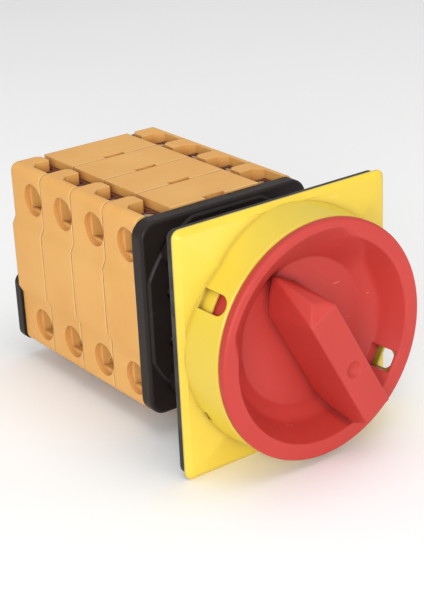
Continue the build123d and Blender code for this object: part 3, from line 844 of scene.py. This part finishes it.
@dataclass(frozen=True)
class ScrewSize:
    """A headed screw; its origin is under the head and it points out of the head."""

    head_radius: float
    head_height: float
    shank_radius: float
    shank_length: float
    slot_width: float
    slot_depth: float
    cross: bool = False
    pitch: float = 0.7 * MM

    def shape(self, recipe: Recipe) -> Socket:
        """Wires the screw into a tree.

        Args:
            recipe: the tree that takes it.

        Returns:
            The screw's geometry.
        """
        radius = recipe.size("Head Radius", self.head_radius)
        height = recipe.size("Head Height", self.head_height)
        shank = recipe.size("Shank Radius", self.shank_radius)
        length = recipe.size("Shank Length", self.shank_length)
        width = recipe.size("Slot Width", self.slot_width)
        depth = recipe.size("Slot Depth", self.slot_depth)
        pitch = recipe.size("Thread Pitch", self.pitch)
        drum = recipe.move(recipe.cylinder(radius, recipe.product(height, 0.7)), z=recipe.product(height, 0.35))
        foot, top = recipe.product(radius, 0.999), recipe.product(radius, 0.84)
        crown = recipe.cone(foot, top, recipe.product(height, 0.34))
        head = recipe.unite(drum, recipe.move(crown, z=recipe.product(height, 0.66)))
        slots = [recipe.box(recipe.product(radius, 3.0), width, recipe.product(depth, 2.0))]
        if self.cross:
            slots = [recipe.box(recipe.product(radius, 1.15), width, recipe.product(depth, 2.0))]
            slots.append(recipe.box(width, recipe.product(radius, 1.15), recipe.product(depth, 2.0)))
        head = recipe.cut(head, *(recipe.move(slot, z=height) for slot in slots))
        rod = recipe.move(recipe.cylinder(recipe.product(shank, 0.94), length, 24), z=recipe.product(length, -0.4999))
        threaded = recipe.product(length, 0.92)
        turns = recipe.wiring.maths("DIVIDE", threaded, pitch)
        thread = recipe.helix(recipe.product(shank, 0.9), threaded, turns, recipe.product(pitch, 0.3), 4, 16)
        thread = recipe.move(thread, z=recipe.product(length, -0.97))
        return recipe.join(head, rod, thread)


# --------------------------------------------------------------- sub-assemblies
@dataclass(frozen=True)
class Grip:
    """The wedge across the handle, in its own axes: u to the nose, v sideways, y the depth."""

    angle: float = 119.0
    half_top: float = 5.8 * MM
    half_foot: float = 7.7 * MM
    face: float = -33.6 * MM
    nose: float = 16.0 * MM
    peak: Spot = (20.5 * MM, -30.4 * MM)
    tip: Spot = (28.2 * MM, -15.4 * MM)
    tail: float = -31.2 * MM
    tail_foot: float = -35.0 * MM
    tail_knee: float = 3.4 * MM
    sunk: float = 0.8 * MM
    dimple: float = -9.8 * MM
    dimple_radius: float = 3.2 * MM
    dimple_ball: float = 4.3 * MM
    edge: float = 0.55 * MM

    def place(self, u: float, v: float, y: float) -> Vector:
        """A point of the grip in the switch's frame.

        Args:
            u: distance towards the nose.
            v: distance sideways.
            y: depth.

        Returns:
            The point.
        """
        turn = math.radians(self.angle)
        return Vector((u * math.cos(turn) + v * math.sin(turn), y, u * math.sin(turn) - v * math.cos(turn)))

    def body(self, rim: float, floor: float) -> bpy.types.Object:
        """Builds the wedge, with its edges broken.

        Args:
            rim: depth of the disc's face.
            floor: depth of the bowl's floor.

        Returns:
            The wedge as a closed piece.
        """
        under = floor + self.sunk
        knee = floor - self.tail_knee
        spread = (self.half_foot - self.half_top) / (floor - self.face)
        ridge = [self.peak, self.tip, (self.nose + 9.0 * MM, under)]
        sides = [
            (self.nose, self.face), (self.nose - 0.4 * MM, floor), (self.nose - 0.4 * MM, under),
            (self.tail, self.face), (self.tail_foot, rim), (self.tail + 0.6 * MM, knee),
            (self.tail + 6.0 * MM, under),
        ]
        work = bmesh.new()
        for u, y in ridge:
            work.verts.new(self.place(u, 0.0, y))
        for side in (1.0, -1.0):
            for u, y in sides:
                work.verts.new(self.place(u, side * (self.half_top + spread * (y - self.face)), y))
        bmesh.ops.convex_hull(work, input=work.verts)
        bmesh.ops.dissolve_limit(work, angle_limit=math.radians(1.0), verts=work.verts, edges=work.edges)
        mesh = bpy.data.meshes.new("grip")
        work.to_mesh(mesh)
        work.free()
        wedge = piece_from_mesh(mesh, "grip")
        bevel = wedge.modifiers.new("broken edges", "BEVEL")
        bevel.width = self.edge
        bevel.segments = 3
        bevel.limit_method = "ANGLE"
        bevel.angle_limit = math.radians(12.0)
        return settle(wedge)


@dataclass
class Operator:
    """The red handle and the ring that keeps it in the escutcheon; sections are in millimetres."""

    grip: Grip = Grip()
    steps: int = 160
    hub_radius: float = 9.0
    flat_radius: float = 17.0
    bowl_floor: float = -13.0
    floor_radius: float = 25.4
    rim_radius: float = 35.6
    face: float = -25.0
    disc_radius: float = 41.5
    disc_back: float = -21.5
    disc_round: float = 1.1
    cone_radius: float = 38.6
    knee_near: Spot = (35.3, -24.4)
    knee_far: Spot = (30.6, -16.2)
    scoop_from: float = 40.0
    scoop_full: float = 56.0
    knee_to: float = 88.0
    back: tuple[Spot, ...] = (
        (39.4, -21.5), (39.4, -9.5), (37.4, -9.5), (37.4, -17.6),
        (33.0, -14.4), (26.0, -10.6), (9.0, -10.6), (9.0, -1.4),
    )
    lock_angle: float = -30.0
    window: tuple[Place, Place] = ((33.25, -20.0, 0.0), (16.5, 7.6, 7.5))
    slit: tuple[Place, Place] = ((38.4, -14.15, 0.0), (8.0, 11.3, 7.5))
    socket: tuple[Place, Place] = ((0.0, -5.0, 0.0), (8.1, 10.4, 8.1))

    def build(self) -> None:
        """Builds the handle, and dresses the ring and the shaft."""
        handle = self._bowl()
        wedge = self.grip.body(self.face * MM, self.bowl_floor * MM)
        combine(handle, wedge, "UNION")
        for cutter in self._cutters():
            combine(handle, cutter, "DIFFERENCE")
        mount_piece(smoothed(handle), RED, "handle", ["handle"])
        dress_node("hub_ring", ZINC)
        dress_node("shaft", ZINC)

    def _profile(self, turn: float) -> list[Spot]:
        """The handle's section at one angle, from the middle of the bowl round to the hub.

        Args:
            turn: degrees from the nose of the grip.

        Returns:
            Radius and depth of each point, in millimetres.
        """
        scoop = ease(turn, self.scoop_from, self.scoop_full)
        share = ease(turn, self.scoop_full - 3.0, self.knee_to)
        floor_edge = (self.floor_radius, self.bowl_floor)
        rim = (self.cone_radius + (self.rim_radius - self.cone_radius) * scoop, self.face)
        on_cone = tuple(f + (r - f) * 0.93 for f, r in zip(floor_edge, rim))
        in_scoop = tuple(n + (f - n) * share for n, f in zip(self.knee_near, self.knee_far))
        knee = tuple(c + (k - c) * scoop for c, k in zip(on_cone, in_scoop))
        line = [(self.hub_radius, self.bowl_floor), (self.flat_radius, self.bowl_floor)]
        line += rounded_corner(line[-1], floor_edge, knee, 0.5)
        line += rounded_corner(floor_edge, knee, rim, 0.2 + 1.2 * share)
        line += rounded_corner(knee, rim, (self.disc_radius, self.face), 0.3)
        quarter = [math.pi / 2 * step / 5 for step in range(6)]
        across = [self.disc_radius - self.disc_round * (1 - math.sin(angle)) for angle in quarter]
        along = [self.disc_round * (1 - math.cos(angle)) for angle in quarter]
        line += [(radius, self.face + back) for radius, back in zip(across, along)]
        line += [(radius, self.disc_back - back) for radius, back in zip(reversed(across), reversed(along))]
        return line + list(self.back)

    def _bowl(self) -> bpy.types.Object:
        """Turns the section about the shaft into a closed mesh.

        Returns:
            The handle without its grip.
        """
        rings = []
        for step in range(self.steps):
            around = 360.0 * step / self.steps
            turn = abs((around - self.grip.angle + 180.0) % 360.0 - 180.0)
            cosine, sine = math.cos(math.radians(around)), math.sin(math.radians(around))
            rings.append([(r * cosine * MM, y * MM, r * sine * MM) for r, y in self._profile(turn)])
        count = len(rings[0])
        points = [point for ring in rings for point in ring]
        points += [(0.0, self.bowl_floor * MM, 0.0), (0.0, self.back[-1][1] * MM, 0.0)]
        faces = []
        for step in range(self.steps):
            here, there = step * count, (step + 1) % self.steps * count
            faces += [(here + i, there + i, there + i + 1, here + i + 1) for i in range(count - 1)]
            faces.append((len(points) - 2, there, here))
            faces.append((len(points) - 1, here + count - 1, there + count - 1))
        mesh = bpy.data.meshes.new("handle_moulding")
        mesh.from_pydata(points, [], faces)
        outward(mesh)
        return piece_from_mesh(mesh, "handle_moulding")

    def _cutters(self) -> list[bpy.types.Object]:
        """The shapes taken out of the handle.

        Returns:
            Padlock window, the slit behind it in the skirt, shaft socket and thumb dimple.
        """
        cutters = []
        for hole, angle in ((self.window, self.lock_angle), (self.slit, self.lock_angle), (self.socket, 0.0)):
            centre, sizes = (tuple(part * MM for part in triple) for triple in hole)
            cutters.append(block(centre, sizes, math.radians(angle)))
        grip = self.grip
        lift = math.sqrt(grip.dimple_ball ** 2 - grip.dimple_radius ** 2)
        work = bmesh.new()
        bmesh.ops.create_uvsphere(work, u_segments=40, v_segments=28, radius=grip.dimple_ball)
        bmesh.ops.translate(work, verts=work.verts, vec=grip.place(grip.dimple, 0.0, grip.face - lift))
        mesh = bpy.data.meshes.new("dimple")
        work.to_mesh(mesh)
        work.free()
        return cutters + [piece_from_mesh(mesh, "dimple")]


@dataclass
class FrontPlate:
    """The yellow escutcheon, its seal and the four screws that it hides."""

    screw_head: float = 3.6 * MM
    screw_head_height: float = 2.6 * MM
    screw_shank: float = 1.95 * MM

    def build(self) -> None:
        """Builds the escutcheon, the seal and the screws."""
        plate = smoothed(welded("escutcheon", "escutcheon_moulding"))
        mount_piece(plate, YELLOW, "body", ["escutcheon"])
        seal = smoothed(welded("seal_frame", "seal_gasket"))
        mount_piece(seal, SEAL, "body", ["seal_frame"])
        self._screws()

    def _screws(self) -> None:
        """Sets a cross-recessed screw in each corner of the fixing square."""
        low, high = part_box("mounting_screws")
        reach = high.x - self.screw_head
        under_head = low.y + self.screw_head_height
        size = ScrewSize(
            head_radius=self.screw_head, head_height=self.screw_head_height, shank_radius=self.screw_shank,
            shank_length=high.y - under_head, slot_width=0.9 * MM, slot_depth=1.3 * MM, cross=True,
        )
        recipe = Recipe("mounting screw")
        places = [(side.value * reach, under_head, level.value * reach) for side in Side for level in Level]
        aims = [(0.0, -1.0, 0.0)] * len(places)
        screws = recipe.grow("mounting_screw_set", size.shape(recipe), places, aims, ZINC, twist=1.5)
        mount_piece(screws, ZINC, "body", ["mounting_screws"])


@dataclass
class CoilSize:
    """A compression spring's winding."""

    radius: float
    wire: float
    turns: float

    def grow(self, name: str, nodes: list[str]) -> bpy.types.Object:
        """Winds a spring in the place of each CAD spring.

        Args:
            name: the new piece's name.
            nodes: the CAD springs, all of one size.

        Returns:
            One object that holds all the springs.
        """
        recipe = Recipe(name.replace("_", " "))
        places, aims = [], []
        for node in nodes:
            low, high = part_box(node)
            middle = (low + high) / 2
            up = math.copysign(1.0, middle.z)
            foot = low.z if up > 0 else high.z
            places.append((middle.x, middle.y, foot + up * self.wire))
            aims.append((0.0, 0.0, up))
            tall = high.z - low.z
        height = recipe.size("Height", tall - 2 * self.wire)
        wire = recipe.size("Wire Radius", self.wire)
        radius, turns = recipe.size("Coil Radius", self.radius), recipe.size("Turns", self.turns)
        coil = recipe.helix(radius, height, turns, wire, 10, 36)
        return recipe.grow(name, coil, places, aims, SPRING)


class MountingPlate:
    """The black plate with its boss and posts, and the click mechanism inside it."""

    def build(self) -> None:
        """Builds the plate and the latch."""
        plate = smoothed(welded("mounting_plate", "mounting_plate_moulding"))
        mount_piece(plate, BLACK, "body", ["mounting_plate"])
        dress_node("latch_star", NYLON)
        for level in Level:
            dress_node(f"latch_slider_{level.word}", NYLON)
        nodes = [f"latch_spring_{level.word}" for level in Level]
        springs = CoilSize(radius=2.0 * MM, wire=0.3 * MM, turns=3.5).grow("latch_spring_pair", nodes)
        mount_piece(springs, SPRING, "body", nodes)


@dataclass
class ContactStack:
    """The four tan stages with their cams, bridges, terminals and springs."""

    band_flare: float = 0.3 * MM
    head_radius: float = 3.6 * MM
    clamp_half: float = 4.2 * MM
    clamp_thick: float = 1.5 * MM

    def build(self) -> None:
        """Builds every stage and what all the stages share."""
        for stage in STAGES:
            self._housing(stage)
            self._stage_parts(stage)
        self._terminal_screws()
        self._wire_clamps()
        nodes = [f"contact_spring_{level.word}_{stage}" for stage in STAGES for level in Level]
        springs = CoilSize(radius=2.6 * MM, wire=0.3 * MM, turns=4.0).grow("contact_spring_set", nodes)
        mount_piece(springs, SPRING, "body", nodes)

    def _housing(self, stage: int) -> None:
        """Builds one tan housing, whose side bands stand a little prouder in front than behind.

        Args:
            stage: 1 next to the mounting plate, 4 at the rear.
        """
        node = f"stage_housing_{stage}"
        low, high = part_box(node)
        piece = welded(node, f"stage_moulding_{stage}")
        middle = (low.y + high.y) / 2
        depth = high.y - low.y
        for vertex in piece.data.vertices:
            if abs(vertex.co.x) > high.x - 0.2 * MM:
                share = 2 * (middle - vertex.co.y) / depth
                vertex.co.x += math.copysign(self.band_flare * share, vertex.co.x)
        mount_piece(smoothed(piece), TAN, "body", [node])

    def _stage_parts(self, stage: int) -> None:
        """Dresses the pieces inside one stage.

        Args:
            stage: 1 next to the mounting plate, 4 at the rear.
        """
        dress_node(f"terminal_covers_{stage}", INSULATOR)
        dress_node(f"fixed_contacts_{stage}", COPPER)
        dress_node(f"cam_{stage}", CAM)
        for level in Level:
            dress_node(f"carrier_{level.word}_{stage}", CAM)
            dress_node(f"bridge_{level.word}_{stage}", COPPER)

    def _terminal_places(self, height: float) -> tuple[list[Place], list[Place]]:
        """Where the sixteen terminals are, and which way they face.

        Args:
            height: distance from the shaft's level plane.

        Returns:
            The places and the directions.
        """
        places, aims = [], []
        for stage in STAGES:
            low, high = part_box(f"terminal_screws_{stage}")
            for side in Side:
                for level in Level:
                    across = side.value * (high.x - self.head_radius)
                    places.append((across, (low.y + high.y) / 2, level.value * height))
                    aims.append((0.0, 0.0, float(level.value)))
        return places, aims

    def _terminal_screws(self) -> None:
        """Sets a slotted clamp screw in each terminal."""
        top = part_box("terminal_screws_1")[1].z
        head_height = 3.0 * MM
        size = ScrewSize(
            head_radius=self.head_radius, head_height=head_height, shank_radius=2.2 * MM,
            shank_length=10.6 * MM, slot_width=1.0 * MM, slot_depth=1.0 * MM,
        )
        recipe = Recipe("terminal screw")
        places, aims = self._terminal_places(top - head_height)
        screws = recipe.grow("terminal_screw_set", size.shape(recipe), places, aims, ZINC, twist=3.1)
        mount_piece(screws, ZINC, "body", [f"terminal_screws_{stage}" for stage in STAGES])

    def _wire_clamps(self) -> None:
        """Sets a ribbed pressure plate under each clamp screw."""
        recipe = Recipe("wire clamp")
        side = recipe.size("Side", 2 * self.clamp_half)
        thick = recipe.size("Thickness", self.clamp_thick)
        hole = recipe.size("Hole Radius", 2.3 * MM)
        ribs = recipe.count("Ribs", 5)
        slab = recipe.box(side, recipe.product(side, 0.97), recipe.product(thick, 0.7))
        plate = recipe.cut(slab, recipe.cylinder(hole, recipe.product(thick, 3.0), 28))
        gap = recipe.product(side, 0.2)
        rib = recipe.cylinder(recipe.product(thick, 0.28), recipe.product(side, 0.26), 6)
        laid = {"Geometry": rib, "Rotation": (math.pi / 2, 0.0, 0.0)}
        lying = recipe.wiring.add("GeometryNodeTransform", laid).outputs[0]
        row = recipe.wiring.add("GeometryNodeMeshLine", {"Count": ribs, "Offset": recipe.vector(x=gap)}).outputs[0]
        teeth = recipe.wiring.add("GeometryNodeInstanceOnPoints", {"Points": row, "Instance": lying}).outputs[0]
        start, under = recipe.product(gap, -2.0), recipe.product(thick, -0.35)
        rows = [recipe.move(teeth, x=start, y=recipe.product(side, share), z=under) for share in (0.36, -0.36)]
        shape = recipe.move(recipe.join(plate, *rows), z=recipe.product(thick, 0.5))
        places, aims = self._terminal_places(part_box("wire_clamps")[1].z - self.clamp_thick)
        clamps = recipe.grow("wire_clamp_set", shape, places, aims, ZINC)
        mount_piece(clamps, ZINC, "body", ["wire_clamps"])


@dataclass
class RearEnd:
    """The black rear plate and the four hexagon-headed tie bolts."""

    head_radius: float = 3.6 * MM
    head_height: float = 2.8 * MM
    bolt_radius: float = 2.0 * MM

    def build(self) -> None:
        """Builds the plate and the bolts."""
        plate = smoothed(welded("rear_plate", "rear_plate_moulding"))
        mount_piece(plate, BLACK, "body", ["rear_plate"])
        self._bolts()

    def _bolts(self) -> None:
        """Sets the tie bolts, with a chamfered hexagon head on a washer face."""
        low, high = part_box("tie_bolts")
        across = high.x - self.head_radius
        up = high.z - self.head_radius * math.cos(math.pi / 6)
        seat = high.y - self.head_height
        recipe = Recipe("tie bolt")
        radius = recipe.size("Head Radius", self.head_radius)
        height = recipe.size("Head Height", self.head_height)
        shank = recipe.size("Bolt Radius", self.bolt_radius)
        length = recipe.size("Bolt Length", seat - low.y)
        hexagon = recipe.move(recipe.cylinder(radius, height, 6), z=recipe.product(height, 0.5))
        foot, top = recipe.product(radius, 1.45), recipe.product(radius, 0.72)
        envelope = recipe.cone(foot, top, recipe.product(height, 1.0002), 48)
        trimmed = recipe.wiring.add("GeometryNodeMeshBoolean", operation="INTERSECT", solver="EXACT")
        for shape in (hexagon, envelope):
            recipe.tree.links.new(shape, trimmed.inputs["Mesh 2"])
        disc = recipe.cylinder(recipe.product(radius, 1.12), recipe.product(height, 0.18))
        washer = recipe.move(disc, z=recipe.product(height, 0.0901))
        rod = recipe.move(recipe.cylinder(shank, length, 28), z=recipe.product(length, -0.4999))
        head = recipe.unite(trimmed.outputs[0], washer)
        places = [(side.value * across, seat, level.value * up) for side in Side for level in Level]
        aims = [(0.0, 1.0, 0.0)] * len(places)
        bolts = recipe.grow("tie_bolt_set", recipe.join(head, rod), places, aims, ZINC, twist=1.0)
        mount_piece(bolts, ZINC, "body", ["tie_bolts"])


# ----------------------------------------------------------------------- studio
@dataclass(frozen=True)
class SoftBox:
    """A square studio light that looks at the switch."""

    name: str
    place: Place
    width: float
    watts: float

    def hang(self, target: Vector) -> None:
        """Puts the light in the scene.

        Args:
            target: the point it looks at.
        """
        lamp = bpy.data.lights.new(self.name, "AREA")
        lamp.shape = "SQUARE"
        lamp.size = self.width
        lamp.energy = self.watts
        light = bpy.data.objects.new(self.name, lamp)
        light.location = self.place
        light.rotation_mode = "QUATERNION"
        light.rotation_quaternion = (target - Vector(self.place)).to_track_quat("-Z", "Y")
        bpy.context.scene.collection.objects.link(light)


@dataclass
class Studio:
    """The pale table, the soft lights and the camera."""

    floor_half: float = 6.0
    camera_place: Place = (-0.2931, -0.3693, 0.2095)
    azimuth: float = -35.82
    elevation: float = 23.16
    roll: float = -2.78
    lens: float = 91.9
    sensor: float = 36.0
    ambient: float = 0.58

    def build(self) -> None:
        """Sets up everything that isn't part of the switch."""
        low, high = cad_box
        self._floor(low.z)
        centre = (low + high) / 2
        lights = [
            SoftBox("key_light", (-0.74, -0.74, 0.34), 0.5, 7.5),
            SoftBox("top_light", (0.0, -0.1, 1.2), 1.1, 6.0),
            SoftBox("fill_light", (0.22, -1.08, -0.02), 0.7, 6.0),
        ]
        for light in lights:
            light.hang(centre)
        world = bpy.data.worlds.new("studio")
        world.use_nodes = True
        background = world.node_tree.nodes["Background"]
        background.inputs["Color"].default_value = (1.0, 1.0, 1.0, 1.0)
        background.inputs["Strength"].default_value = self.ambient
        bpy.context.scene.world = world
        bpy.context.scene.view_settings.view_transform = "Standard"
        self._camera()

    def _floor(self, level: float) -> None:
        """Lays the table under the lowest edge of the switch.

        Args:
            level: the table's height.
        """
        half = self.floor_half
        mesh = bpy.data.meshes.new("table")
        corners = [(x * half, y * half, level) for x, y in ((-1, -1), (1, -1), (1, 1), (-1, 1))]
        mesh.from_pydata(corners, [], [(0, 1, 2, 3)])
        mesh.materials.append(FLOOR.make())
        piece_from_mesh(mesh, "table")

    def _camera(self) -> None:
        """Makes the scene's camera."""
        data = bpy.data.cameras.new("camera")
        data.lens = self.lens
        data.sensor_width = self.sensor
        data.clip_start = 0.01
        data.clip_end = 50.0
        camera = bpy.data.objects.new("camera", data)
        turn, rise = math.radians(self.azimuth), math.radians(self.elevation)
        back = Vector((math.sin(turn) * math.cos(rise), -math.cos(turn) * math.cos(rise), math.sin(rise)))
        camera.rotation_mode = "QUATERNION"
        level = (-back).to_track_quat("-Z", "Y")
        camera.rotation_quaternion = level @ Quaternion((0.0, 0.0, 1.0), math.radians(self.roll))
        camera.location = self.camera_place
        bpy.context.scene.collection.objects.link(camera)
        bpy.context.scene.camera = camera


def main() -> None:
    """Builds the switch from the handle back, then the studio."""
    logging.basicConfig(level=logging.INFO, format="%(name)s: %(message)s")
    for assembly in (Operator(), FrontPlate(), MountingPlate(), ContactStack(), RearEnd()):
        assembly.build()
    Studio().build()


if __name__ == "__main__":
    main()
